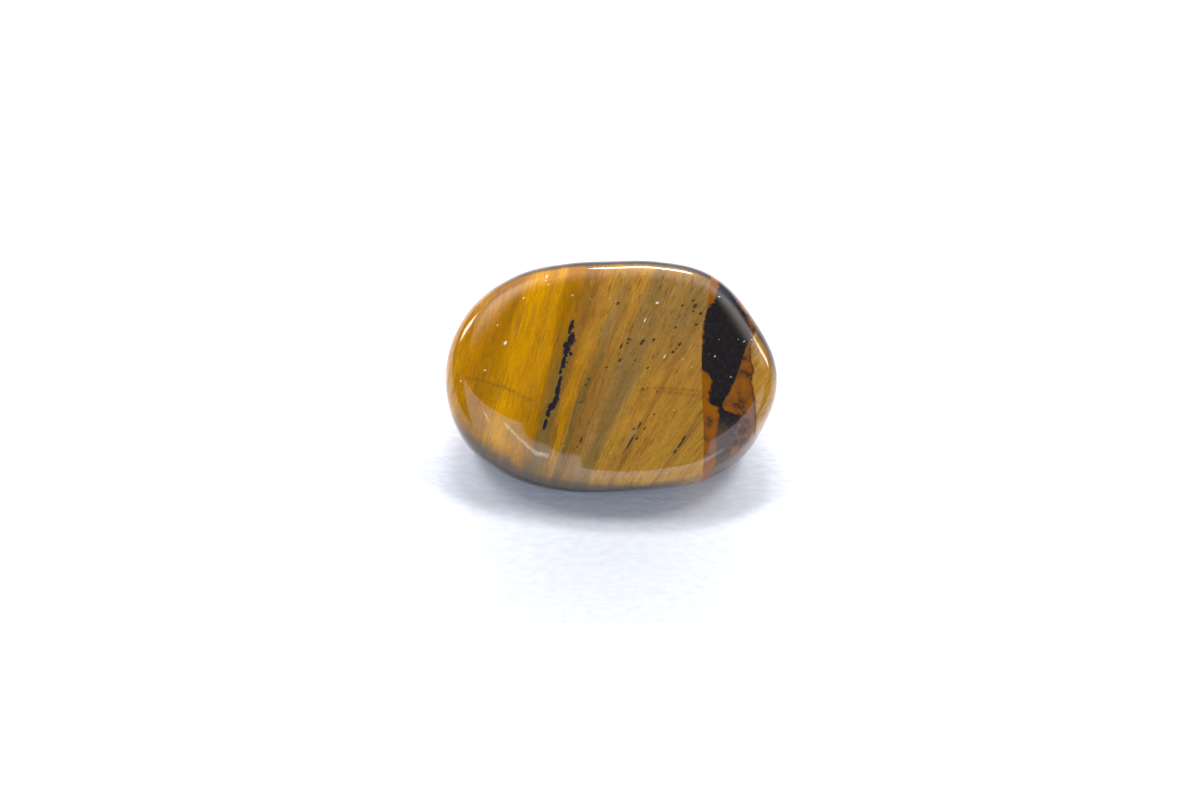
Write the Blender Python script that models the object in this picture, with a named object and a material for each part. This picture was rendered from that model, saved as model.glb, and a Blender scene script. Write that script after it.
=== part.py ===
# A tumbled tiger's eye pebble: one solid, in metres, +Z up, resting on a flat of its underside.
# It began as a sawn chip, so it has one broad show face, which leans back from the front.
# Below the face a bevel runs down to the girdle, the widest line round the stone. Under the
# girdle the flank falls away to the rear and the underside. Tumbling has rounded every edge.
# Sizes here are in millimetres, seen from in front of the show face: +X is right, +Y is up.

import math

import bmesh
import bpy
from mathutils import Matrix, Vector, noise

MM = 0.001

FACE_LEAN = 33.0  # degrees between the show face and the table
FACE_RISE = 4.2  # from the girdle's plane out to the middle of the show face
FACE_DOME = 0.35  # 0 would be a flat face, and 1 an ellipsoid
BACK_DEPTH = 8.8  # from the girdle's plane back to the rounded rear
BACK_ROUNDING = 2.6
GIRDLE_HEIGHT = 6.7  # from the table up to the middle of the girdle
BASE_CUT = 0.2  # worn off the underside, so that it stands on a true plane

# From the middle out to the girdle, every 22.5 degrees anticlockwise from the right-hand end.
GIRDLE_RADII = [
    14.85, 13.7, 12.6, 10.9, 10.05, 10.65, 12.3, 13.85,
    14.5, 13.95, 12.3, 10.8, 10.05, 10.55, 12.1, 13.65,
]
# The next four go anticlockwise too, every 45 degrees: right, upper right, top, upper left,
# left, lower left, bottom and lower right.
BEVEL_WIDTHS = [0.8, 0.2, 0.2, 1.0, 2.2, 4.5, 3.0, 2.4]
SHOULDER_OVERHANGS = [0.5, 0.4, 0.4, 0.4, 0.5, 0.7, 0.7, 0.9]  # past the girdle, which cuts it
GIRDLE_EDGES = [12, 10, 11, 12, 20, 30, 36, 36]  # from well rounded, 10, to a crisp lip, 36
FLANK_FLARES = [0.05, 0, 0, 0, 0, 0, 0, 0.17]  # how far the flank spreads for each 1 down
BEVEL_SLOPE = math.radians(28)
SHOULDER_EDGE = 11

# Worn flats on the far sides: which way each one faces, and how far from the middle it lies.
WORN_FLATS = {
    "underside": ((0.0, 0.0, -1.0), GIRDLE_HEIGHT),
    "rear": ((0.0, 1.0, -0.05), 9.0),
    "rear_left": ((-0.62, 0.62, -0.48), 10.6),
    "rear_right": ((0.70, 0.50, -0.50), 10.4),
}
FLAT_EDGE = 12

SWELL_HEIGHT = 0.05  # slow waves that tumbling leaves in the polish
SWELL_LENGTH = 7.0

GRID = 25  # faces along each side of the cube that is swelled into the pebble
GRID_STRETCH = Vector((14.0, 10.3, 5.5))  # spreads the grid evenly over the flattened form


def around(values, angle):
    """A smooth closed curve through evenly spaced values, read at an angle in radians."""
    place = angle / math.tau * len(values)
    first = math.floor(place)
    t = place - first
    a, b, c, d = (values[(first + step) % len(values)] for step in (-1, 0, 1, 2))
    return b + 0.5 * t * (c - a + t * (2 * a - 5 * b + 4 * c - d + t * (3 * (b - c) + d - a)))


def joined(shares, edge):
    """Several surfaces as one, with the edges between them rounded. A high edge is crisp.

    A share is the part of the way to a surface that one millimetre of a direction covers.
    """
    return sum(max(0.0, share) ** edge for share in shares) ** (1 / edge)


def shoulder_share(out, rise, angle, girdle):
    """The show face, the bevel round it, and the curve that carries both down to the girdle."""
    face = math.hypot(max(0.0, rise) / FACE_RISE, FACE_DOME * out / girdle)
    flat_reach = girdle - around(BEVEL_WIDTHS, angle)
    bevel_run = out * math.sin(BEVEL_SLOPE) + rise * math.cos(BEVEL_SLOPE)
    bevel_reach = flat_reach * math.sin(BEVEL_SLOPE) + FACE_RISE * math.cos(BEVEL_SLOPE)
    shoulder = out / (girdle + around(SHOULDER_OVERHANGS, angle))
    return joined([face, bevel_run / bevel_reach, shoulder], SHOULDER_EDGE)


def chip_share(tilted):
    """The stone without its worn flats, for a unit vector in the show face's own axes."""
    angle = math.atan2(tilted.y, tilted.x)
    girdle = around(GIRDLE_RADII, angle)
    out = math.hypot(tilted.x, tilted.y)
    shoulder = shoulder_share(out, tilted.z, angle, girdle)
    flank = (out + around(FLANK_FLARES, angle) * tilted.z) / girdle
    chip = joined([shoulder, flank], around(GIRDLE_EDGES, angle))
    return joined([chip, -tilted.z / BACK_DEPTH], BACK_ROUNDING)


def surface_point(tilted):
    """The point of the surface that lies this way from the middle of the girdle."""
    direction = Matrix.Rotation(math.radians(FACE_LEAN), 3, "X") @ tilted
    flats = [Vector(faces).normalized().dot(direction) / away for faces, away in WORN_FLATS.values()]
    point = direction / joined([chip_share(tilted), *flats], FLAT_EDGE)
    swell = noise.noise(point / SWELL_LENGTH) * SWELL_HEIGHT
    return point + direction * swell


def swelled_cube():
    shape = bmesh.new()
    bmesh.ops.create_cube(shape, size=2.0)
    bmesh.ops.subdivide_edges(shape, edges=shape.edges, cuts=GRID - 1, use_grid_fill=True)
    for corner in shape.verts:
        even = Vector([math.tan(part * math.pi / 4) for part in corner.co])
        corner.co = surface_point((even * GRID_STRETCH).normalized())
    return shape


def wear_base_flat(shape):
    """Cuts the underside to one flat face and closes it."""
    level = BASE_CUT - GIRDLE_HEIGHT
    everything = [*shape.verts, *shape.edges, *shape.faces]
    cut = bmesh.ops.bisect_plane(
        shape, geom=everything, plane_co=(0, 0, level), plane_no=(0, 0, -1), clear_outer=True
    )
    rim = [part for part in cut["geom_cut"] if isinstance(part, bmesh.types.BMEdge)]
    bmesh.ops.contextual_create(shape, geom=rim)


def set_down(shape):
    """Puts the middle of the bounding box's underside at the origin, and goes to metres."""
    corners = [corner.co for corner in shape.verts]
    low, high = (Vector([pick(co[axis] for co in corners) for axis in range(3)]) for pick in (min, max))
    foot = Vector(((low.x + high.x) / 2, (low.y + high.y) / 2, low.z))
    for corner in shape.verts:
        corner.co = (corner.co - foot) * MM


def polished_stone():
    stone = bpy.data.materials.new("polished_tigers_eye")
    stone.use_nodes = True
    finish = stone.node_tree.nodes["Principled BSDF"]
    finish.inputs["Base Color"].default_value = (0.36, 0.18, 0.03, 1.0)
    finish.inputs["Roughness"].default_value = 0.12
    finish.inputs["Metallic"].default_value = 0.0
    finish.inputs["IOR"].default_value = 1.54
    return stone


def make_pebble():
    shape = swelled_cube()
    wear_base_flat(shape)
    set_down(shape)
    bmesh.ops.recalc_face_normals(shape, faces=shape.faces)
    mesh = bpy.data.meshes.new("tigers_eye_pebble")
    shape.to_mesh(mesh)
    shape.free()
    mesh.shade_smooth()
    mesh.set_sharp_from_angle(angle=math.radians(30))
    mesh.materials.append(polished_stone())
    pebble = bpy.data.objects.new("tigers_eye_pebble", mesh)
    bpy.context.scene.collection.objects.link(pebble)


for leftover in list(bpy.data.objects):
    bpy.data.objects.remove(leftover)
make_pebble()
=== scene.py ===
import math

import bmesh
import bpy
import numpy as np
from mathutils import Matrix, Quaternion, Vector, noise


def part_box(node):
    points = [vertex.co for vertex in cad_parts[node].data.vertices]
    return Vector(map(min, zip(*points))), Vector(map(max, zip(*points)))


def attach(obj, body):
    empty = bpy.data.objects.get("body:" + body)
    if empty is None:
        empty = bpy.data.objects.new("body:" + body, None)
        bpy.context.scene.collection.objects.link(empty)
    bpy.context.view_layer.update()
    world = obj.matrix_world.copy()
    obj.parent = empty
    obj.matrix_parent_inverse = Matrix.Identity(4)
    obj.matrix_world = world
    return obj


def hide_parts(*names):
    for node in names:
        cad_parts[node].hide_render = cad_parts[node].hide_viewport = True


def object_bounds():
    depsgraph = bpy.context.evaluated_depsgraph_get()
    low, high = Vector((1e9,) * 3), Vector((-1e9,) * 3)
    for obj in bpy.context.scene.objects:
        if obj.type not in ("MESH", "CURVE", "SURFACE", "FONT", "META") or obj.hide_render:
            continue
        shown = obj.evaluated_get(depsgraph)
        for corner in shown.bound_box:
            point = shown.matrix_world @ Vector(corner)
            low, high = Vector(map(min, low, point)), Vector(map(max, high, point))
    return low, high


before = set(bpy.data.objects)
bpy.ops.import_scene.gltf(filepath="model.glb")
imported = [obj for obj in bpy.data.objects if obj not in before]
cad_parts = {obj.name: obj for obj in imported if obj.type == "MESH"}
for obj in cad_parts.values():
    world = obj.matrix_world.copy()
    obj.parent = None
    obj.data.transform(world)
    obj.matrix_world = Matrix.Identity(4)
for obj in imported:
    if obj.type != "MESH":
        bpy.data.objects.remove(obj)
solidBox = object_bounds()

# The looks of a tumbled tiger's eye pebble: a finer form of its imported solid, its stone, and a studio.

stoneNode = "tigers_eye_pebble"
millimetre = 0.001


# The pebble's form in millimetres, in the show face's own axes: sideways, up along the face, and
# out of it. Lists run round the face from its right side, by way of its upper edge.
pebbleForm = {
    "faceLean": 33.0,  # degrees back from the table
    "faceRise": 4.2,  # from the girdle's middle up to the face
    "faceDome": 0.35,  # 0 is flat
    "backDepth": 8.8,  # from the girdle's middle down to the back
    "backRounding": 2.6,  # 2 is an ellipsoid's, and more is squarer
    "girdleHeight": 6.7,  # of its middle over the table
    "baseCut": 0.2,  # taken off the underside, for the flat that it rests on
    "girdleRadii": [
        14.85, 13.7, 12.6, 10.9, 10.05, 10.65, 12.3, 13.85,
        14.5, 13.95, 12.3, 10.8, 10.05, 10.55, 12.1, 13.65,
    ],
    "bevelWidths": [0.8, 0.2, 0.2, 1.0, 2.2, 4.5, 3.0, 2.4],
    "shoulderOverhangs": [0.5, 0.4, 0.4, 0.4, 0.5, 0.7, 0.7, 0.9],
    "girdleEdges": [12, 10, 11, 12, 20, 30, 36, 36],  # how crisp the lip is
    "flankFlares": [0.05, 0, 0, 0, 0, 0, 0, 0.17],
    "bevelSlope": math.radians(28),
    "shoulderEdge": 11,
    "wornFlats": [  # the way each faces, and how far out it lies
        ((0.0, 0.0, -1.0), 6.7),
        ((0.0, 1.0, -0.05), 9.0),
        ((-0.62, 0.62, -0.48), 10.6),
        ((0.70, 0.50, -0.50), 10.4),
    ],
    "flatEdge": 12,
    "swellHeight": 0.05,  # of the faint unevenness that tumbling leaves
    "swellLength": 7.0,
    "grid": 124,  # faces along each side of the cube that the pebble is drawn from
    "gridStretch": (14.0, 10.3, 5.5),
    "sharpAngle": math.radians(40),
}


def around(values, angle):
    # A smooth closed curve through values that are spaced evenly round the face.
    values = np.array(values, float)
    place = angle / math.tau * len(values)
    first = np.floor(place).astype(int)
    t = place - first
    a, b, c, d = (values[(first + step) % len(values)] for step in (-1, 0, 1, 2))
    return b + 0.5 * t * (c - a + t * (2 * a - 5 * b + 4 * c - d + t * (3 * (b - c) + d - a)))


def joined(shares, edge):
    # Several surfaces as one, with the edges between them crisper as edge grows.
    return sum(np.maximum(0, share) ** edge for share in shares) ** (1 / edge)


def chipShare(tilted, form):
    # 1 over how far out the face, bevel, shoulder, flank or back lies, in each direction.
    angle = np.arctan2(tilted[:, 1], tilted[:, 0])
    out = np.hypot(tilted[:, 0], tilted[:, 1])
    rise = tilted[:, 2]
    girdle = around(form["girdleRadii"], angle)
    face = np.hypot(np.maximum(0, rise) / form["faceRise"], form["faceDome"] * out / girdle)
    sine, cosine = math.sin(form["bevelSlope"]), math.cos(form["bevelSlope"])
    bevelReach = (girdle - around(form["bevelWidths"], angle)) * sine + form["faceRise"] * cosine
    bevel = (out * sine + rise * cosine) / bevelReach
    curve = out / (girdle + around(form["shoulderOverhangs"], angle))
    shoulder = joined([face, bevel, curve], form["shoulderEdge"])
    flank = (out + around(form["flankFlares"], angle) * rise) / girdle
    chip = joined([shoulder, flank], around(form["girdleEdges"], angle))
    return joined([chip, -rise / form["backDepth"]], form["backRounding"])


def surfacePoints(tilted, form):
    lean = np.array(Matrix.Rotation(math.radians(form["faceLean"]), 3, "X"))
    direction = tilted @ lean.T
    shares = [chipShare(tilted, form)]
    for facing, away in form["wornFlats"]:
        shares.append(direction @ np.array(Vector(facing).normalized()) / away)
    points = direction / joined(shares, form["flatEdge"])[:, None]
    swell = [noise.noise(Vector(point) / form["swellLength"]) for point in points]
    return points + direction * np.array(swell)[:, None] * form["swellHeight"]


def makePebble(form):
    shape = bmesh.new()
    bmesh.ops.create_cube(shape, size=2.0)
    bmesh.ops.subdivide_edges(shape, edges=shape.edges, cuts=form["grid"] - 1, use_grid_fill=True)
    even = np.tan(np.array([corner.co for corner in shape.verts]) * math.pi / 4)  # even by angle
    tilted = even * np.array(form["gridStretch"])
    tilted /= np.linalg.norm(tilted, axis=1)[:, None]
    points = surfacePoints(tilted, form)
    for corner, point in zip(shape.verts, points):
        corner.co = point
    level = form["baseCut"] - form["girdleHeight"]
    everything = [*shape.verts, *shape.edges, *shape.faces]
    cut = bmesh.ops.bisect_plane(
        shape, geom=everything, plane_co=(0, 0, level), plane_no=(0, 0, -1), clear_outer=True
    )
    rim = [part for part in cut["geom_cut"] if isinstance(part, bmesh.types.BMEdge)]
    bmesh.ops.contextual_create(shape, geom=rim)
    bmesh.ops.recalc_face_normals(shape, faces=shape.faces)
    mesh = bpy.data.meshes.new("polishedPebble")
    shape.to_mesh(mesh)
    shape.free()
    # The solid's own box says where the pebble stands, and so where the middle of its girdle lies.
    corners = np.array([corner.co for corner in mesh.vertices])
    low, high = corners.min(0), corners.max(0)
    solidLow, solidHigh = (np.array(corner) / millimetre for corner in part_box(stoneNode))
    fit = min(1.0, *((solidHigh - solidLow) / (high - low)))
    foot = np.array([(low[0] + high[0]) / 2, (low[1] + high[1]) / 2, low[2]])
    across, deep = (solidLow + solidHigh)[:2] / 2
    stand = np.array([across, deep, solidLow[2]])
    placed = ((corners - foot) * fit + stand) * millimetre
    mesh.vertices.foreach_set("co", placed.astype(np.float32).ravel())
    mesh.shade_smooth()
    mesh.set_sharp_from_angle(angle=form["sharpAngle"])
    pebble = bpy.data.objects.new("polishedPebble", mesh)
    bpy.context.scene.collection.objects.link(pebble)
    girdleMiddle = stand - foot * fit
    return pebble, girdleMiddle


pebble, girdleMiddle = makePebble(pebbleForm)
print("pebble:", len(pebble.data.polygons), "faces, girdle middle at", girdleMiddle.round(3), "mm")


def linear(code):
    # An sRGB hex colour as linear light.
    parts = [int(code[place:place + 2], 16) / 255 for place in (1, 3, 5)]
    return [part / 12.92 if part <= 0.04045 else ((part + 0.055) / 1.055) ** 2.4 for part in parts] + [1.0]


def add(tree, kind, settings=None, links=None):
    # Adds a node, sets its properties and its unlinked inputs, and joins inputs to other nodes.
    node = tree.nodes.new(kind)
    for name, value in (settings or {}).items():
        if isinstance(name, int) or name in node.inputs:
            node.inputs[name].default_value = value
        else:
            setattr(node, name, value)
    for name, source in (links or {}).items():
        if isinstance(source, bpy.types.Node):
            source = source.outputs[0]
        tree.links.new(source, node.inputs[name])
    return node


def newMaterial(name):
    material = bpy.data.materials.new(name)
    material.use_nodes = True
    tree = material.node_tree
    tree.nodes.clear()
    return material, tree


# Tiger's eye is quartz that grew through a seam of silky parallel fibres, which rust has stained
# gold and brown. The seam ends at a band of black and red ironstone. Its patterns are placed in
# millimetres: sideways and along on the show face, across the fibres' fan, and up out of the face.
# Fibres and grit are drawn far coarser than real ones, which are too fine to show.
stoneLook = {
    "patternShift": (0.11, 0.5, 0.0),  # from the girdle's middle to the patterns' own
    "colors": {
        "gold": "#ca8c00", "amber": "#a06902", "honey": "#b87c06", "tan": "#b17c2c",
        "ochre": "#b3812d", "drab": "#9c7438", "khaki": "#8b6a37", "olive": "#7d6127",
        "moss": "#6d5725", "umber": "#8f6124", "hairline": "#3d2e1c", "thread": "#d49a2c",
        "wisp": "#75684c", "grain": "#38261a", "ore": "#1c1c26", "dust": "#e9e2d4",
        # The scuff colour is partly worn stone and partly a painted glint.
        # endOn is the grey-brown of the fibres' ends, partly painted shade and a painted grey reflection
        # on the flanks.
        "scuffAndGlint": "#d8c4a0", "crack": "#6a3f1c", "endOn": "#413b38",
        "rust": "#874e0b", "brown": "#74451b", "darkBrown": "#38241a",
        "blackOre": "#1c1a1b", "brownOre": "#2f2724", "dullOre": "#4e3c2b",
    },
    # The fibres fan out from left to right. Slope is sideways travel for each 1 along.
    "fanStart": -4.0,
    "fanSlope": 0.385,
    "fanSpread": 0.034,
    "leftSlope": 0.249,
    # Bands across the fibres: those near the upper edge of the face, and those near the lower.
    "upperBands": [
        (-14.0, "honey"), (-11.5, "amber"), (-9.4, "amber"), (-8.3, "gold"), (-7.6, "gold"),
        (-7.0, "honey"), (-6.0, "gold"), (-5.4, "amber"), (-4.5, "amber"), (-4.0, "umber"),
        (-3.3, "umber"), (-2.6, "tan"), (-2.0, "ochre"), (-1.6, "drab"), (-0.8, "tan"), (-0.2, "tan"),
        (0.5, "khaki"), (1.2, "drab"), (2.0, "drab"), (2.9, "drab"), (3.9, "khaki"), (5.2, "drab"),
        (8.0, "drab"),
    ],
    "lowerBands": [
        (-14.0, "gold"), (-12.2, "honey"), (-10.5, "amber"), (-8.4, "gold"), (-7.0, "honey"),
        (-6.0, "honey"), (-5.4, "amber"), (-4.9, "olive"), (-4.1, "olive"), (-3.5, "umber"),
        (-3.1, "honey"), (-2.6, "honey"), (-2.2, "umber"), (-1.9, "moss"), (-1.4, "umber"),
        (0.4, "drab"), (1.0, "khaki"), (1.8, "khaki"), (2.6, "ochre"), (4.4, "tan"), (4.8, "umber"),
        (5.2, "tan"), (9.6, "ochre"), (10.1, "umber"), (10.6, "ochre"),
    ],
    "bandReach": (-14.0, 15.0),
    "bandChange": (-2.5, 6.5),  # along the face, from the lower bands to the upper ones
    # Streaks are given by their width, length and depth. The bands stray sideways by this much.
    "strays": [
        ((1.2, 9.0, 5.0), 1.6), ((0.35, 4.5, 2.0), 1.1), ((0.12, 1.6, 0.8), 0.6), ((5.0, 2.2, 4.0), 0.3),
    ],
    # Single ribbons of fibre are stained a browner or a greener shade than their band.
    "ribbons": [("umber", (0.3, 3.4, 1.3), 0.55), ("moss", (0.22, 2.6, 1.1), 0.5)],
    # Fine fibres and broader ribbons make each band lighter or darker, and the short glowing patches are
    # painted sheen of the silk.
    "shadesAndSheen": [
        ((0.07, 0.7, 0.4), 0.6), ((0.16, 1.8, 1.0), 0.5), ((0.5, 5.0, 2.5), 0.3), ((1.2, 2.8, 2.5), 0.65),
    ],
    "gritSize": 1 / 7,
    "gritTone": (0.45, 0.9),  # the darkest, and how much lighter the lightest
    "hairlineSize": (0.10, 1.2, 0.7),
    "hairlineCrowd": (-4.6, -1.5),  # across: where they begin, and where they are thickest
    "threadSize": (0.10, 1.4, 0.6),
    "waveSize": (0.9, 6.0, 2.5),
    "waveSlope": 0.25,
    "crumbSize": 1 / 2.8,
    "crackHalfWidth": 0.24,
    "scuffAndGlintHalfWidth": 0.3,
    "dustSpacing": 1 / 1.3,
    "mottleSize": 1.25,
    "jasperStops": [(0.34, "darkBrown"), (0.46, "brown"), (0.58, "rust")],
    "jasperFarSide": (8.6, 11.6),  # sideways, from its reddest to its brownest
    "jasperNearEnd": (1.0, -5.0),  # along, from its reddest to its brownest
    "oreStops": [(0.45, "blackOre"), (0.75, "brownOre"), (1.0, "dullOre")],
    "oreNearEnd": (-2.6, -5.0),  # along, from its blackest to its dullest
    # How much of the light the fibres mirror, how far they blur it, and how much more along them.
    "silk": 0.3,
    "silkRoughness": 0.45,
    "silkAnisotropy": 0.7,
    "quartzIor": 1.54,
    "polishRoughness": 0.04,
    # The polish is uneven: how far apart its waves are, how deep, and in how much detail.
    "ripple": (1 / 0.33, 0.012, 1.0),
    "wear": (1 / 3.5, 0.001, 3.0),
    # Blebs of blue-black ore in a broken thread: across, along, half width and half length.
    "oreBlebs": [
        (-4.35, 4.20, 0.21, 0.60), (-4.10, 3.12, 0.31, 0.60), (-4.42, 2.72, 0.24, 0.30),
        (-4.26, 2.24, 0.27, 0.46), (-3.83, 1.93, 0.18, 0.16), (-4.22, 1.23, 0.23, 0.66),
        (-4.28, 0.50, 0.16, 0.40), (-4.20, -0.40, 0.15, 0.46), (-4.14, -1.05, 0.23, 0.56),
        (-4.12, -2.02, 0.24, 0.50), (-4.26, -2.50, 0.38, 0.30), (-4.46, -3.02, 0.23, 0.42),
        (-4.52, -4.00, 0.14, 0.60),
    ],
    # Small dark grains of iron ore, and grey wisps, placed in the same way.
    "oreGrains": [
        (-1.46, 6.21, 0.12, 0.14), (0.30, 3.17, 0.18, 0.11), (0.29, 2.87, 0.10, 0.09),
        (1.41, 3.03, 0.14, 0.16), (1.36, 2.80, 0.12, 0.14), (-0.10, 2.58, 0.09, 0.20),
        (0.24, 1.40, 0.14, 0.16), (-0.63, 0.81, 0.15, 0.09), (1.45, 1.40, 0.08, 0.09),
        (2.17, 3.13, 0.11, 0.12), (2.74, 0.76, 0.09, 0.13), (3.65, 6.47, 0.12, 0.15),
        (3.98, 6.00, 0.13, 0.18), (3.09, 6.02, 0.12, 0.10), (4.05, 5.58, 0.09, 0.09),
        (4.67, 5.39, 0.12, 0.12), (4.78, 4.39, 0.13, 0.10), (3.37, 4.19, 0.10, 0.10),
        (4.33, 2.75, 0.12, 0.17), (4.15, 2.11, 0.13, 0.15), (4.25, 2.40, 0.07, 0.12),
        (-1.74, -0.19, 0.09, 0.15), (-1.89, -0.67, 0.09, 0.12), (3.22, -1.01, 0.09, 0.09),
        (4.59, -1.23, 0.10, 0.09), (5.48, -3.14, 0.11, 0.11), (5.32, -4.29, 0.10, 0.12),
        (4.64, -4.05, 0.11, 0.32), (4.27, -4.33, 0.10, 0.12), (5.09, -5.17, 0.13, 0.12),
        (4.62, -5.50, 0.13, 0.60), (9.85, -5.13, 0.14, 0.20), (9.94, -5.64, 0.11, 0.40),
        (9.91, -6.24, 0.14, 0.18), (-0.53, -5.30, 0.11, 0.30), (-0.70, -5.87, 0.08, 0.12),
        (-1.85, -2.15, 0.09, 0.10),
    ],
    "wisps": [
        (-1.72, 4.20, 0.24, 1.45), (-1.95, -2.90, 0.15, 2.30), (-2.20, -5.90, 0.16, 1.60),
        (-4.45, -4.30, 0.20, 1.00), (2.15, -0.80, 0.20, 2.20), (0.95, 4.75, 0.10, 0.50),
        (0.55, 1.10, 0.20, 0.80), (4.45, -5.20, 0.50, 1.30), (9.95, -5.60, 0.30, 1.60),
        (3.75, 4.60, 0.14, 1.20),
    ],
    # Specks of dust and tiny chips that catch the light, placed in the same way.
    "dustSpecks": [
        (1.24, 6.25, 0.13, 0.06), (0.91, 4.77, 0.05, 0.20), (3.67, 1.69, 0.05, 0.18),
        (-9.58, 2.87, 0.13, 0.17), (-10.60, 4.39, 0.06, 0.07), (-12.54, -0.25, 0.06, 0.07),
        (-7.51, 8.54, 0.06, 0.12), (-7.47, 8.20, 0.07, 0.07), (-7.17, 7.82, 0.05, 0.08),
        (-8.98, 6.68, 0.06, 0.08), (-13.94, 3.80, 0.06, 0.08), (-10.71, 0.60, 0.13, 0.05),
        (7.63, 1.72, 0.06, 0.06), (9.14, 3.04, 0.05, 0.05), (9.60, 3.24, 0.05, 0.05),
        (10.08, 0.03, 0.05, 0.05), (-4.95, 6.90, 0.06, 0.06), (5.30, 6.80, 0.09, 0.06),
    ],
    # Pale scuffs that are partly a painted glint along the lower left shoulder, and rusty cracks, as runs
    # of places: sideways, then along.
    "scuffsAndGlints": [
        [(-10.76, -2.56), (-10.45, -3.25), (-10.17, -3.82)],
        [(-9.0, -3.82), (-7.56, -5.26), (-6.3, -6.35), (-5.13, -6.60)],
    ],
    "cracks": [
        [(2.26, -1.18), (3.77, -0.92), (5.03, -1.01), (7.64, -1.18)],
        [(4.19, -1.18), (5.45, -1.34), (7.63, -1.6)],
        [(-12.35, 0.0), (-10.92, -0.25), (-8.82, -0.92), (-7.56, -1.6), (-6.3, -2.1)],
    ],
    # Where the ironstone begins and ends, and the black ore in it: along, then sideways.
    "seamEdge": [
        (8.6, 8.50), (7.8, 8.33), (5.7, 8.12), (4.6, 7.78), (3.4, 7.67), (0.6, 7.64), (-1.9, 7.68),
        (-4.1, 7.80), (-7.6, 7.79),
    ],
    "farEdge": [
        (8.5, 12.2), (4.8, 12.4), (3.4, 12.0), (2.4, 11.79), (1.4, 11.85), (0.7, 12.05), (-0.4, 11.87),
        (-1.6, 12.15), (-3.5, 12.28), (-7.0, 12.25),
    ],
    "oreLeft": [
        (8.6, 9.20), (6.8, 8.90), (6.3, 8.60), (5.7, 8.00), (0.9, 7.50), (0.4, 8.0), (-0.42, 8.55),
        (-0.75, 8.40), (-1.19, 8.26), (-2.1, 8.22), (-2.4, 8.6), (-2.55, 9.00), (-3.66, 9.04),
        (-4.65, 8.90), (-6.26, 8.85), (-7.6, 8.8),
    ],
    "oreRight": [
        (8.6, 9.9), (7.4, 10.2), (6.5, 10.6), (5.55, 11.2), (4.4, 11.8), (3.3, 11.8),
        (2.4, 11.39), (1.77, 11.14), (0.64, 10.79), (-0.20, 10.51), (-1.11, 10.08), (-1.74, 9.66),
        (-2.45, 9.36), (-2.85, 9.60), (-3.1, 10.55), (-3.96, 10.69), (-4.57, 10.55), (-5.49, 10.3),
        (-6.6, 10.0), (-7.6, 9.8),
    ],
}


def stonePlaces(tree, girdleMiddle):
    # Places in the stone, in millimetres: plain, and across, along and below the fibres' fan.
    lean = math.radians(pebbleForm["faceLean"])
    middle = Matrix.Rotation(-lean, 3, "X") @ Vector(girdleMiddle)
    shift = Vector(stoneLook["patternShift"]) - middle
    solid = add(tree, "ShaderNodeTexCoord").outputs["Object"]
    face = add(tree, "ShaderNodeMapping", {
        "Location": shift, "Rotation": (-lean, 0, 0), "Scale": (1 / millimetre,) * 3,
    }, {"Vector": solid})
    parts = add(tree, "ShaderNodeSeparateXYZ", links={0: face})
    sideways, along, height = parts.outputs
    straight = add(tree, "ShaderNodeMath", {
        "operation": "MULTIPLY_ADD", 1: -stoneLook["leftSlope"],
    }, {0: along, 2: sideways})
    leaned = add(tree, "ShaderNodeMath", {
        "operation": "MULTIPLY_ADD", 1: -stoneLook["fanSlope"],
    }, {0: along, 2: sideways})
    widened = add(tree, "ShaderNodeMath", {
        "operation": "MULTIPLY_ADD", 1: stoneLook["fanSpread"], 2: 1.0,
    }, {0: along})
    fanned = add(tree, "ShaderNodeMath", {"operation": "DIVIDE"}, {0: leaned, 1: widened})
    inFan = add(tree, "ShaderNodeMath", {
        "operation": "GREATER_THAN", 1: stoneLook["fanStart"],
    }, {0: straight})
    across = add(tree, "ShaderNodeMix", links={0: inFan, 2: straight, 3: fanned})
    fibre = add(tree, "ShaderNodeCombineXYZ", links={0: across, 1: along, 2: height})
    return {
        "face": face.outputs[0], "sideways": sideways, "along": along,
        "across": across.outputs[0], "fibre": fibre.outputs[0],
    }


def fibreDirection(tree, at):
    # Which way the silk runs: sideways by the fan's slope for each 1 along, leaned with the face.
    slope = add(tree, "ShaderNodeMath", {
        "operation": "MULTIPLY_ADD", 1: stoneLook["fanSpread"], 2: stoneLook["fanSlope"],
    }, {0: at["across"]})
    kept = add(tree, "ShaderNodeMath", {"operation": "MAXIMUM", 1: stoneLook["leftSlope"]}, {0: slope})
    wave = streaks(tree, at["fibre"], stoneLook["waveSize"])
    slant = stoneLook["waveSlope"]
    waved = add(tree, "ShaderNodeMath", {"operation": "MULTIPLY_ADD", 1: slant, 2: -slant / 2}, {0: wave})
    flat = add(tree, "ShaderNodeCombineXYZ", {1: 1.0}, {0: kept, 2: waved})
    leaned = add(tree, "ShaderNodeVectorRotate", {
        "rotation_type": "X_AXIS", "Angle": math.radians(pebbleForm["faceLean"]),
    }, {"Vector": flat})
    return add(tree, "ShaderNodeVectorMath", {"operation": "NORMALIZE"}, {0: leaned}).outputs[0]


def endOn(tree, direction):
    # How squarely the surface cuts across the fibres, from 0 along them to 1 across their ends.
    normal = add(tree, "ShaderNodeNewGeometry").outputs["Normal"]
    lengthwise = add(tree, "ShaderNodeVectorMath", {
        "operation": "DOT_PRODUCT",
    }, {0: normal, 1: direction}).outputs["Value"]
    return add(tree, "ShaderNodeMath", {"operation": "ABSOLUTE"}, {0: lengthwise}).outputs[0]


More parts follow.
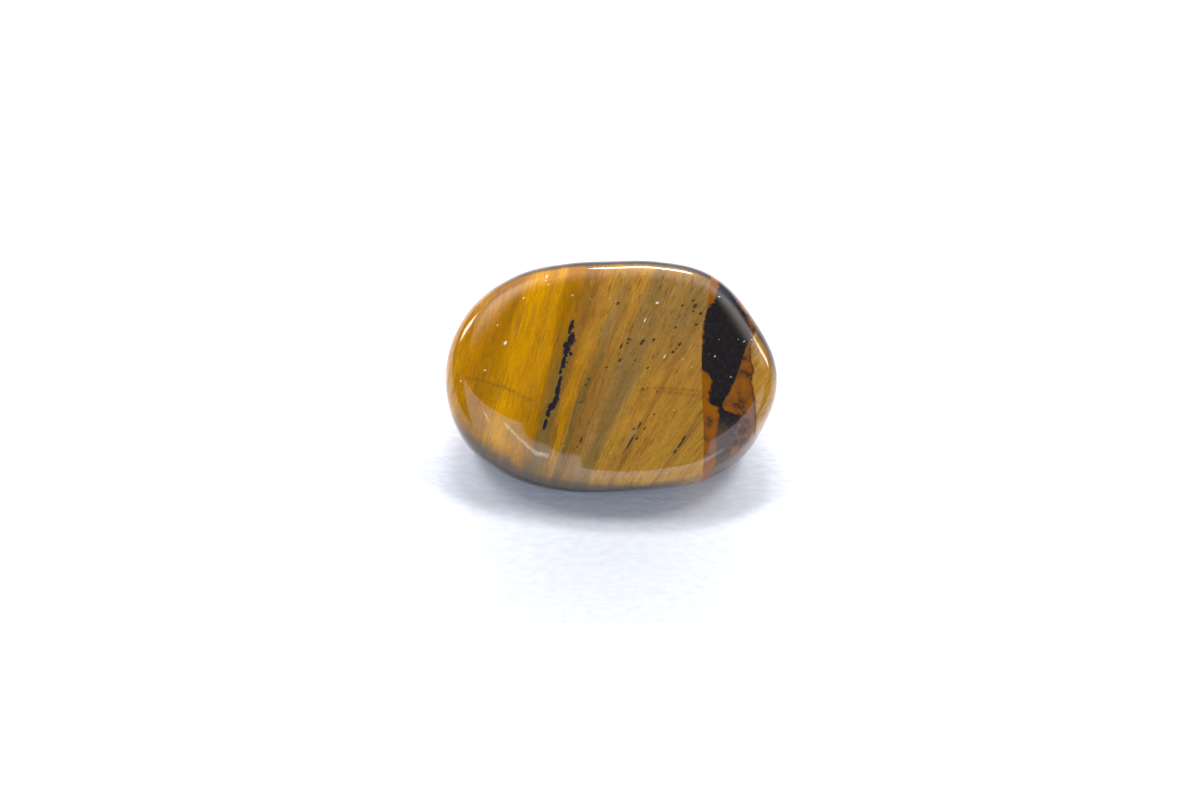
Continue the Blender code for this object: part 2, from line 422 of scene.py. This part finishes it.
def streaks(tree, place, size, detail=2.0):
    # Noise drawn out along the fibres: a streak's width, length and depth in millimetres.
    spread = add(tree, "ShaderNodeMapping", {"vector_type": "TEXTURE", "Scale": size}, {"Vector": place})
    return add(tree, "ShaderNodeTexNoise", {
        "Scale": 1.0, "Detail": detail, "Roughness": 0.65,
    }, {"Vector": spread})


def mixedColor(name):
    # Settings of a mix that goes over to one of the stone's own colours.
    return {"data_type": "RGBA", 7: linear(stoneLook["colors"][name])}


def colourBands(tree, across, bands):
    # Bands of colour that run along the fibres and pass softly into each other.
    low, high = stoneLook["bandReach"]
    part = add(tree, "ShaderNodeMapRange", {"From Min": low, "From Max": high}, {"Value": across})
    ramp = add(tree, "ShaderNodeValToRGB", links={"Fac": part})
    stops = ramp.color_ramp.elements
    for place, name in bands[1:-1]:
        stops.new((place - low) / (high - low))
    for stop, (place, name) in zip(stops, bands):
        stop.position = (place - low) / (high - low)
        stop.color = linear(stoneLook["colors"][name])
    return ramp.outputs["Color"]


def bandedSilk(tree, at):
    # The bands stray sideways along their length, and their edges fray into single fibres.
    fibre = at["wavyFibre"]
    across = at["across"]
    for size, reach in stoneLook["strays"]:
        stray = streaks(tree, fibre, size)
        centred = add(tree, "ShaderNodeMath", {"operation": "SUBTRACT", 1: 0.5}, {0: stray})
        across = add(tree, "ShaderNodeMath", {
            "operation": "MULTIPLY_ADD", 1: reach,
        }, {0: centred, 2: across})
    upper = colourBands(tree, across, stoneLook["upperBands"])
    lower = colourBands(tree, across, stoneLook["lowerBands"])
    start, end = stoneLook["bandChange"]
    high = add(tree, "ShaderNodeMapRange", {
        "interpolation_type": "SMOOTHSTEP", "From Min": start, "From Max": end,
    }, {"Value": at["along"]})
    bands = add(tree, "ShaderNodeMix", {"data_type": "RGBA"}, {0: high, 6: lower, 7: upper}).outputs[2]
    for name, size, cover in stoneLook["ribbons"]:
        stained = add(tree, "ShaderNodeMapRange", {
            "interpolation_type": "SMOOTHSTEP", "From Min": 0.52, "From Max": 0.72, "To Max": cover,
        }, {"Value": streaks(tree, fibre, size, 3.0)})
        bands = add(tree, "ShaderNodeMix", mixedColor(name), {0: stained, 6: bands}).outputs[2]
    grit = add(tree, "ShaderNodeTexNoise", {
        "Scale": 1 / stoneLook["gritSize"], "Detail": 6.0, "Roughness": 0.75,
    }, {"Vector": at["face"]})
    darkest, lighter = stoneLook["gritTone"]
    tone = add(tree, "ShaderNodeMath", {
        "operation": "MULTIPLY_ADD", 1: lighter, 2: darkest,
    }, {0: grit})
    # The last, short and broad streaks are painted sheen of the silk.
    for size, strength in stoneLook["shadesAndSheen"]:
        shade = add(tree, "ShaderNodeMath", {
            "operation": "MULTIPLY_ADD", 1: strength, 2: 1 - strength / 2,
        }, {0: streaks(tree, fibre, size, 4.0)})
        tone = add(tree, "ShaderNodeMath", {"operation": "MULTIPLY"}, {0: tone, 1: shade})
    return add(tree, "ShaderNodeVectorMath", {"operation": "SCALE"}, {0: bands, "Scale": tone}).outputs[0]


def silkyFibres(tree, at):
    # Dark hairlines crowd the middle of the seam, and single bright threads lie between them.
    fibre = at["wavyFibre"]
    toned = bandedSilk(tree, at)
    first, thickest = stoneLook["hairlineCrowd"]
    crowd = add(tree, "ShaderNodeMapRange", {
        "interpolation_type": "SMOOTHSTEP",
        "From Min": first, "From Max": thickest, "To Min": 0.15, "To Max": 0.85,
    }, {"Value": at["across"]})
    hair = add(tree, "ShaderNodeMapRange", {
        "interpolation_type": "SMOOTHSTEP", "From Min": 0.45, "From Max": 0.31,
    }, {"Value": streaks(tree, fibre, stoneLook["hairlineSize"], 4.0)})
    hairlines = add(tree, "ShaderNodeMath", {"operation": "MULTIPLY"}, {0: hair, 1: crowd})
    darkened = add(tree, "ShaderNodeMix", mixedColor("hairline"), {0: hairlines, 6: toned}).outputs[2]
    thread = add(tree, "ShaderNodeMapRange", {
        "interpolation_type": "SMOOTHSTEP", "From Min": 0.56, "From Max": 0.76, "To Max": 0.4,
    }, {"Value": streaks(tree, fibre, stoneLook["threadSize"], 4.0)})
    return add(tree, "ShaderNodeMix", mixedColor("thread"), {0: thread, 6: darkened}).outputs[2]


def spots(tree, place, sizes):
    # How far the nearest spot is, where 1 is its edge. Spots are stretched balls centred at the face.
    halfDepth = 2.5
    nearest = None
    for across, along, halfWidth, halfLength in sizes:
        middle = Vector((across, along, pebbleForm["faceRise"]))
        shrink = Vector((1 / halfWidth, 1 / halfLength, 1 / halfDepth))
        local = add(tree, "ShaderNodeVectorMath", {
            "operation": "MULTIPLY_ADD", 1: shrink, 2: [-part * by for part, by in zip(middle, shrink)],
        }, {0: place})
        reach = add(tree, "ShaderNodeVectorMath", {"operation": "LENGTH"}, {0: local}).outputs["Value"]
        if nearest is None:
            nearest = reach
        else:
            nearest = add(tree, "ShaderNodeMath", {
                "operation": "MINIMUM",
            }, {0: nearest, 1: reach}).outputs[0]
    return nearest


def sideOfLine(tree, place, other, places):
    # How far the other coordinate lies past a line drawn through places, in millimetres.
    half = 16.0  # the line's graph reaches this far either way
    part = add(tree, "ShaderNodeMapRange", {"From Min": -half, "From Max": half}, {"Value": place})
    line = add(tree, "ShaderNodeFloatCurve", links={"Value": part})
    points = line.mapping.curves[0].points
    for extra in places[2:]:
        points.new(0.5, 0.5)
    for point, (first, second) in zip(points, sorted(places)):
        point.location = ((first + half) / (2 * half), (second + half) / (2 * half))
        point.handle_type = "VECTOR"
    line.mapping.update()
    edge = add(tree, "ShaderNodeMapRange", {"To Min": -half, "To Max": half}, {"Value": line})
    return add(tree, "ShaderNodeMath", {"operation": "SUBTRACT"}, {0: other, 1: edge}).outputs[0]


def beyond(tree, along, sideways, places, softness=0.06):
    # 1 to the right of a line down the face, and 0 to its left.
    over = sideOfLine(tree, along, sideways, places)
    return add(tree, "ShaderNodeMapRange", {
        "interpolation_type": "SMOOTHSTEP", "From Min": -softness, "From Max": softness,
    }, {"Value": over}).outputs[0]


def drawnLines(tree, at, runs, halfWidth, cover):
    # Thin lines across the face, broken up by the fibres they cross, each one fading at its ends.
    broken = streaks(tree, at["fibre"], (0.13, 0.6, 0.5), 3.0)
    total = None
    for places in runs:
        first, last = min(places)[0], max(places)[0]
        gap = sideOfLine(tree, at["sideways"], at["raggedAlong"], places)
        away = add(tree, "ShaderNodeMath", {"operation": "ABSOLUTE"}, {0: gap})
        near = add(tree, "ShaderNodeMapRange", {
            "interpolation_type": "SMOOTHSTEP", "From Min": halfWidth, "From Max": 0.0,
        }, {"Value": away})
        middle = add(tree, "ShaderNodeMath", {
            "operation": "SUBTRACT", 1: (first + last) / 2,
        }, {0: at["sideways"]})
        outward = add(tree, "ShaderNodeMath", {"operation": "ABSOLUTE"}, {0: middle})
        inside = add(tree, "ShaderNodeMapRange", {
            "From Min": (last - first) / 2 + 0.05, "From Max": (last - first) / 2 - 0.25,
        }, {"Value": outward})
        run = add(tree, "ShaderNodeMath", {"operation": "MULTIPLY"}, {0: near, 1: inside}).outputs[0]
        if total is None:
            total = run
        else:
            total = add(tree, "ShaderNodeMath", {"operation": "MAXIMUM"}, {0: total, 1: run}).outputs[0]
    kept = add(tree, "ShaderNodeMapRange", {
        "From Min": 0.35, "From Max": 0.65, "To Min": 0.2 * cover, "To Max": cover,
    }, {"Value": broken})
    return add(tree, "ShaderNodeMath", {"operation": "MULTIPLY"}, {0: total, 1: kept}).outputs[0]


def raggedPlaces(tree, at):
    # Adds places shifted by fine noise, which breaks up the edges of the ore and the ironstone.
    crumb = add(tree, "ShaderNodeTexNoise", {
        "Scale": 1 / stoneLook["crumbSize"], "Detail": 6.0, "Roughness": 0.75,
    }, {"Vector": at["face"]})
    centred = add(tree, "ShaderNodeVectorMath", {
        "operation": "SUBTRACT", 1: (0.5, 0.5, 0.5),
    }, {0: crumb.outputs["Color"]})
    for name, reach in (("ragged", 0.5), ("crumbled", 1.1)):
        moved = add(tree, "ShaderNodeVectorMath", {
            "operation": "MULTIPLY_ADD", 1: (reach,) * 3,
        }, {0: centred, 2: at["face"]})
        parts = add(tree, "ShaderNodeSeparateXYZ", links={0: moved})
        at[name + "Sideways"], at[name + "Along"] = parts.outputs[0], parts.outputs[1]
    for name, reach in (("raggedFibre", (0.5, 0.5, 0.5)), ("wavyFibre", (0.2, 0.5, 0.2))):
        at[name] = add(tree, "ShaderNodeVectorMath", {
            "operation": "MULTIPLY_ADD", 1: reach,
        }, {0: centred, 2: at["fibre"]}).outputs[0]
    at["crumb"] = crumb.outputs["Fac"]


def shadesOf(tree, value, stops):
    # A stone's own shades, each at its value from 0 to 1.
    ramp = add(tree, "ShaderNodeValToRGB", links={"Fac": value})
    ramp.color_ramp.elements.new(stops[1][0])
    for stop, (place, name) in zip(ramp.color_ramp.elements, stops):
        stop.position, stop.color = place, linear(stoneLook["colors"][name])
    return ramp.outputs["Color"]


def jasper(tree, at):
    # Rust-red jasper, mottled brown, and browner towards the far side of the band and its near end.
    mottle = add(tree, "ShaderNodeTexNoise", {
        "Scale": 1 / stoneLook["mottleSize"], "Detail": 6.0, "Roughness": 0.62,
    }, {"Vector": at["face"]})
    reddest, brownest = stoneLook["jasperFarSide"]
    farther = add(tree, "ShaderNodeMapRange", {
        "From Min": reddest, "From Max": brownest, "To Min": 0.08, "To Max": -0.04,
    }, {"Value": at["sideways"]})
    reddest, brownest = stoneLook["jasperNearEnd"]
    lower = add(tree, "ShaderNodeMapRange", {
        "From Min": reddest, "From Max": brownest, "To Max": -0.05,
    }, {"Value": at["along"]})
    shifted = add(tree, "ShaderNodeMath", {"operation": "ADD"}, {0: mottle, 1: farther})
    shifted = add(tree, "ShaderNodeMath", {"operation": "ADD"}, {0: shifted, 1: lower})
    return shadesOf(tree, shifted, stoneLook["jasperStops"])


def blackOre(tree, at):
    # Black ironstone, which turns dull and brown towards the near end of the band.
    blackest, dullest = stoneLook["oreNearEnd"]
    dulled = add(tree, "ShaderNodeMapRange", {
        "interpolation_type": "SMOOTHSTEP", "From Min": blackest, "From Max": dullest, "To Max": 0.5,
    }, {"Value": at["along"]})
    dulled = add(tree, "ShaderNodeMath", {"operation": "ADD"}, {0: at["crumb"], 1: dulled})
    return shadesOf(tree, dulled, stoneLook["oreStops"])


def ironstone(tree, at):
    # Jasper, with black ore running down through it.
    rust = jasper(tree, at)
    ore = blackOre(tree, at)
    left = beyond(tree, at["crumbledAlong"], at["crumbledSideways"], stoneLook["oreLeft"], 0.12)
    right = beyond(tree, at["raggedAlong"], at["raggedSideways"], stoneLook["oreRight"], 0.1)
    within = add(tree, "ShaderNodeMath", {"operation": "SUBTRACT", "use_clamp": True}, {0: left, 1: right})
    both = add(tree, "ShaderNodeMix", {"data_type": "RGBA"}, {0: within, 6: rust, 7: ore}).outputs[2]
    # A dark skin lies against the far wall of the band.
    skin = sideOfLine(tree, at["raggedAlong"], at["raggedSideways"], stoneLook["farEdge"])
    close = add(tree, "ShaderNodeMapRange", {
        "interpolation_type": "SMOOTHSTEP", "From Min": -0.3, "From Max": -0.05, "To Max": 0.75,
    }, {"Value": skin})
    return add(tree, "ShaderNodeMix", mixedColor("darkBrown"), {0: close, 6: both}).outputs[2]


def scatteredDust(tree, at):
    # Rare specks: only a few cells of the scatter hold one, and it fills little of its cell.
    cells = add(tree, "ShaderNodeTexVoronoi", {
        "Scale": 1 / stoneLook["dustSpacing"], "Randomness": 1.0,
    }, {"Vector": at["face"]})
    tiny = add(tree, "ShaderNodeMapRange", {
        "interpolation_type": "SMOOTHSTEP", "From Min": 0.07, "From Max": 0.03,
    }, {"Value": cells.outputs["Distance"]})
    chance = add(tree, "ShaderNodeSeparateXYZ", links={0: cells.outputs["Color"]})
    some = add(tree, "ShaderNodeMapRange", {
        "From Min": 0.65, "From Max": 1.0, "To Max": 0.8,
    }, {"Value": chance.outputs[0]})
    return add(tree, "ShaderNodeMath", {"operation": "MULTIPLY"}, {0: tiny, 1: some}).outputs[0]


def polish(tree, at):
    # Tumbling leaves a glassy but not quite flat skin: broad shallow ripples, and finer wear.
    skin = None
    for name in ("ripple", "wear"):
        apart, deep, detail = stoneLook[name]
        height = add(tree, "ShaderNodeTexNoise", {
            "Scale": 1 / apart, "Detail": detail,
        }, {"Vector": at["face"]})
        links = {"Height": height} if skin is None else {"Height": height, "Normal": skin}
        skin = add(tree, "ShaderNodeBump", {"Strength": 1.0, "Distance": deep * millimetre}, links)
    return skin.outputs[0]


def speckled(tree, at, color):
    # Grey wisps, dark grains of iron ore, and the broken thread of blue-black ore.
    for name, shade, place, inner, outer, cover, eaten in (
        ("wisps", "wisp", at["raggedFibre"], 0.2, 1.3, 0.4, 1.0),
        ("oreGrains", "grain", at["wavyFibre"], 0.6, 1.4, 0.92, 0.0),
        ("oreBlebs", "ore", at["raggedFibre"], 0.85, 1.15, 0.97, 2.6),
    ):
        nearest = spots(tree, place, stoneLook[name])
        uneven = add(tree, "ShaderNodeMath", {
            "operation": "MULTIPLY_ADD", 1: eaten, 2: -eaten / 2,
        }, {0: at["crumb"]})
        nearest = add(tree, "ShaderNodeMath", {"operation": "ADD"}, {0: nearest, 1: uneven})
        over = add(tree, "ShaderNodeMapRange", {
            "interpolation_type": "SMOOTHSTEP", "From Min": outer, "From Max": inner, "To Max": cover,
        }, {"Value": nearest})
        color = add(tree, "ShaderNodeMix", mixedColor(shade), {0: over, 6: color}).outputs[2]
    return color


def darkEndsAndPaintedShade(tree, along, color):
    # Darker and greyer where the skin cuts across the fibres' ends, and darkest where it does so squarely:
    # partly the fibres' own duller ends, partly painted shade on the flanks and back and a painted grey
    # reflection on the lower rim.
    squareness = endOn(tree, along)
    ends = add(tree, "ShaderNodeMapRange", {
        "interpolation_type": "SMOOTHSTEP", "From Min": 0.48, "From Max": 0.72, "To Max": 0.88,
    }, {"Value": squareness})
    color = add(tree, "ShaderNodeMix", mixedColor("endOn"), {0: ends, 6: color}).outputs[2]
    darkenedAndShaded = add(tree, "ShaderNodeMapRange", {
        "interpolation_type": "SMOOTHSTEP",
        "From Min": 0.7, "From Max": 0.92, "To Min": 1.0, "To Max": 0.5,
    }, {"Value": squareness})
    return add(tree, "ShaderNodeVectorMath", {"operation": "SCALE"}, {0: color, "Scale": darkenedAndShaded}).outputs[0]


def makeStone(girdleMiddle):
    # Tiger's eye rolled for weeks in ever finer grit: silk that glows along its fibres, with some painted
    # sheen, and goes dark at their ends, partly with painted shade, under a clear skin of quartz, polished
    # like glass, that mirrors the studio.
    material, tree = newMaterial("tumbledTigersEye")
    at = stonePlaces(tree, girdleMiddle)
    raggedPlaces(tree, at)
    color = speckled(tree, at, silkyFibres(tree, at))
    along = fibreDirection(tree, at)
    # Darker where the skin cuts across the fibres: partly their own duller ends, partly painted shade and
    # a painted grey reflection.
    color = darkEndsAndPaintedShade(tree, along, color)
    cracked = drawnLines(tree, at, stoneLook["cracks"], stoneLook["crackHalfWidth"], 0.6)
    color = add(tree, "ShaderNodeMix", mixedColor("crack"), {0: cracked, 6: color}).outputs[2]
    pastSeam = beyond(tree, at["along"], at["sideways"], stoneLook["seamEdge"], 0.03)
    pastFar = beyond(tree, at["raggedAlong"], at["raggedSideways"], stoneLook["farEdge"])
    inIron = add(tree, "ShaderNodeMath", {
        "operation": "SUBTRACT", "use_clamp": True,
    }, {0: pastSeam, 1: pastFar})
    iron = ironstone(tree, at)
    color = add(tree, "ShaderNodeMix", {"data_type": "RGBA"}, {0: inIron, 6: color, 7: iron}).outputs[2]
    # Pale streaks: partly worn scuffs, partly a painted glint on the shoulder.
    scuffedAndGlinting = drawnLines(tree, at, stoneLook["scuffsAndGlints"], stoneLook["scuffAndGlintHalfWidth"], 0.75)
    color = add(tree, "ShaderNodeMix", mixedColor("scuffAndGlint"), {0: scuffedAndGlinting, 6: color}).outputs[2]
    placed = add(tree, "ShaderNodeMapRange", {
        "interpolation_type": "SMOOTHSTEP", "From Min": 1.3, "From Max": 0.5, "To Max": 0.9,
    }, {"Value": spots(tree, at["wavyFibre"], stoneLook["dustSpecks"])})
    dusty = add(tree, "ShaderNodeMath", {"operation": "MAXIMUM"}, {0: placed, 1: scatteredDust(tree, at)})
    color = add(tree, "ShaderNodeMix", mixedColor("dust"), {0: dusty, 6: color}).outputs[2]
    silk = add(tree, "ShaderNodeMapRange", {"To Min": stoneLook["silk"], "To Max": 0.0}, {"Value": inIron})
    body = add(tree, "ShaderNodeBsdfPrincipled", {
        "Roughness": stoneLook["silkRoughness"], "Anisotropic": stoneLook["silkAnisotropy"],
        "IOR": stoneLook["quartzIor"], "Specular IOR Level": 0.0, "Coat Weight": 1.0,
        "Coat Roughness": stoneLook["polishRoughness"], "Coat IOR": stoneLook["quartzIor"],
    }, {"Base Color": color, "Metallic": silk, "Tangent": along, "Coat Normal": polish(tree, at)})
    add(tree, "ShaderNodeOutputMaterial", links={"Surface": body})
    return material


paperLook = {
    "shadedHollow": "#d3d5db",
    "litCrest": "#ebecee",
    "toothSize": (1.1, 0.5, 1.0),
    "toothHeight": 0.04,
}


def makePaper():
    # White rag paper, pressed damp against a wire mesh: matt, with a faint laid tooth that shows where the
    # shadow rakes over it. Its hollows are painted darker and its crests lighter: painted shade of the
    # tooth.
    material, tree = newMaterial("whiteLaidPaper")
    place = add(tree, "ShaderNodeTexCoord").outputs["Object"]
    laid = add(tree, "ShaderNodeMapping", {
        "vector_type": "TEXTURE", "Scale": [side * millimetre for side in paperLook["toothSize"]],
    }, {"Vector": place})
    tooth = add(tree, "ShaderNodeTexNoise", {"Scale": 1.0, "Detail": 2.0}, {"Vector": laid})
    raised = add(tree, "ShaderNodeBump", {
        "Strength": 1.0, "Distance": paperLook["toothHeight"] * millimetre,
    }, {"Height": tooth})
    # Painted shade: darker in the tooth's hollows, lighter on its crests.
    white = add(tree, "ShaderNodeMix", {
        "data_type": "RGBA", 6: linear(paperLook["shadedHollow"]), 7: linear(paperLook["litCrest"]),
    }, {0: tooth})
    body = add(tree, "ShaderNodeBsdfPrincipled", {
        "Roughness": 0.9, "Specular IOR Level": 0.2,
    }, {"Base Color": white.outputs[2], "Normal": raised})
    add(tree, "ShaderNodeOutputMaterial", links={"Surface": body})
    return material


pebble.data.materials.append(makeStone(girdleMiddle))
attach(pebble, "root")
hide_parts(stoneNode)
print("stone:", len(pebble.data.materials[0].node_tree.nodes), "nodes in its material")


# The studio: a sheet of paper, a long lens from high in front, and soft panels round the stone.
studio = {
    "viewElevation": 52.0,  # degrees
    "viewDistance": 0.3813,  # metres
    "lens": 135.0,
    "sensor": 36.0,
    "imageSize": (1200, 800),
    "stoneAt": (611.0, 373.2),  # the pixel that its middle falls on
    "floorSide": 3.0,
    "panelDistance": 1.6,
    "panelAim": (0, 0, 0.009),
    "roomColor": (0.03, 0.033, 0.04, 1),  # what the polish mirrors between the panels
    "farColor": (0.9, 0.9, 0.92, 1),  # what lies past the paper's edge
    "coolWhite": "#d5e1f7",
}


def addPanel(
    name, direction, spread, brightness, color="#ffffff", fade=0.1, roll=0.0, lights=True, shows=True
):
    # A soft panel seen from the stone: azimuth from +Y and elevation, then its width and height in
    # degrees. At a brightness of 1 its face is just white in the picture. It fades at its edges,
    # and lights matt surfaces, or shows in polished ones, or both.
    distance = studio["panelDistance"]
    data = bpy.data.lights.new(name, "AREA")
    data.shape = "RECTANGLE"
    data.size, data.size_y = (2 * distance * math.tan(math.radians(part / 2)) for part in spread)
    data.energy = brightness * math.pi * data.size * data.size_y
    data.color = linear(color)[:3]
    data.use_nodes = True
    tree = data.node_tree
    tree.nodes.clear()
    place = add(tree, "ShaderNodeNewGeometry").outputs["Parametric"]
    middle = add(tree, "ShaderNodeVectorMath", {"operation": "SUBTRACT", 1: (0.5, 0.5, 0)}, {0: place})
    outward = add(tree, "ShaderNodeVectorMath", {"operation": "ABSOLUTE"}, {0: middle})
    parts = add(tree, "ShaderNodeSeparateXYZ", links={0: outward})
    fades = [add(tree, "ShaderNodeMapRange", {
        "interpolation_type": "SMOOTHSTEP", "From Min": 0.5, "From Max": 0.5 - fade,
    }, {"Value": parts.outputs[side]}) for side in (0, 1)]
    strength = add(tree, "ShaderNodeMath", {"operation": "MULTIPLY"}, {0: fades[0], 1: fades[1]})
    glow = add(tree, "ShaderNodeEmission", links={"Strength": strength})
    add(tree, "ShaderNodeOutputLight", links={"Surface": glow})
    panel = bpy.data.objects.new(name, data)
    azimuth, elevation = (math.radians(part) for part in direction)
    level = math.cos(elevation)
    away = Vector((math.sin(azimuth) * level, math.cos(azimuth) * level, math.sin(elevation)))
    panel.location = Vector(studio["panelAim"]) + away * distance
    turned = away.to_track_quat("Z", "Y") @ Quaternion((0, 0, 1), math.radians(roll))
    panel.rotation_euler = turned.to_euler()
    panel.visible_camera = False
    panel.visible_diffuse = lights
    panel.visible_glossy = shows
    bpy.context.scene.collection.objects.link(panel)


def makeFloor():
    # One flat sheet of paper, far wider than the view.
    half = studio["floorSide"] / 2
    mesh = bpy.data.meshes.new("paperFloor")
    mesh.from_pydata(
        [(-half, -half, 0), (half, -half, 0), (half, half, 0), (-half, half, 0)], [], [(0, 1, 2, 3)]
    )
    floor = bpy.data.objects.new("paperFloor", mesh)
    bpy.context.scene.collection.objects.link(floor)
    mesh.materials.append(makePaper())


def makeCamera():
    # Looks along +Y and down, and stands so that the stone's middle falls on its pixel.
    data = bpy.data.cameras.new("camera")
    data.lens, data.sensor_width = studio["lens"], studio["sensor"]
    camera = bpy.data.objects.new("camera", data)
    elevation = math.radians(studio["viewElevation"])
    look = Vector((0, math.cos(elevation), -math.sin(elevation)))
    right = Vector((1, 0, 0))
    up = right.cross(look)
    width, height = studio["imageSize"]
    frameWidth = studio["viewDistance"] * studio["sensor"] / studio["lens"]
    perPixel = frameWidth / width
    sideways = (width / 2 - studio["stoneAt"][0]) * perPixel
    upward = (studio["stoneAt"][1] - height / 2) * perPixel
    low, high = solidBox
    middle = (Vector(low) + Vector(high)) / 2
    camera.location = middle - look * studio["viewDistance"] + right * sideways + up * upward
    camera.rotation_euler = (math.pi / 2 - elevation, 0, 0)
    bpy.context.scene.collection.objects.link(camera)
    bpy.context.scene.camera = camera


def makeLights():
    # The panels behind the stone throw its shadow forward. The sheets and windows that only show in
    # the polish make its highlights and veils, and the low ones fill in the shadow.
    cool = studio["coolWhite"]
    addPanel("backStrip", (13, 58), (21, 6), 70, roll=25, lights=False)
    addPanel("backKey", (0, 58), (18, 7), 38, shows=False)
    addPanel("backLeftBank", (-58, 58), (18, 7), 25, shows=False)
    addPanel("backRightBank", (58, 58), (18, 7), 34, shows=False)
    addPanel("backLowSheet", (0, 16), (120, 28), 10.5, "#f1f5fd", shows=False)
    addPanel("leftSideSheet", (-95, 30), (60, 50), 0.75, shows=False)
    addPanel("rightSideSheet", (95, 30), (60, 50), 0.55, shows=False)
    addPanel("frontLowFill", (180, 7), (120, 13), 4.2, "#c6d8fb", shows=False)
    addPanel("overheadSheet", (0, 64), (108, 72), 1.7, cool, 0.28, lights=False)
    addPanel("leftHighSheet", (-85, 67), (46, 28), 4.2, "#ffe3bd", 0.35, lights=False)
    addPanel("rightHighSheet", (90, 55), (44, 40), 2.3, "#ffeedb", 0.4, lights=False)
    addPanel("backSheet", (0, 22), (110, 40), 0.7, cool, 0.2)
    addPanel("leftWindow", (-74, 32), (12, 25), 16, fade=0.25, lights=False)
    addPanel("rightWindow", (89, 37), (10, 31), 13, fade=0.25, lights=False)
    addPanel("frontLeftSheet", (-147, 17), (38, 50), 2.1, cool, roll=5, fade=0.04)
    addPanel("frontRightSheet", (142, 18), (36, 47), 1.9, cool, fade=0.05)
    addPanel("frontLowSheet", (172, 5), (46, 16), 2.3, cool, fade=0.05)
    world = bpy.data.worlds.new("studioWorld")
    bpy.context.scene.world = world
    world.use_nodes = True
    tree = world.node_tree
    tree.nodes.clear()
    path = add(tree, "ShaderNodeLightPath")
    room = add(tree, "ShaderNodeBackground", {"Color": studio["roomColor"], "Strength": 1.0})
    seen = add(tree, "ShaderNodeBackground", {"Color": studio["farColor"], "Strength": 1.0})
    both = add(tree, "ShaderNodeMixShader", links={0: path.outputs["Is Camera Ray"], 1: room, 2: seen})
    add(tree, "ShaderNodeOutputWorld", links={"Surface": both})


makeFloor()
makeCamera()
makeLights()
bpy.context.scene.view_settings.view_transform = "Standard"
print("studio: camera, floor and lights")
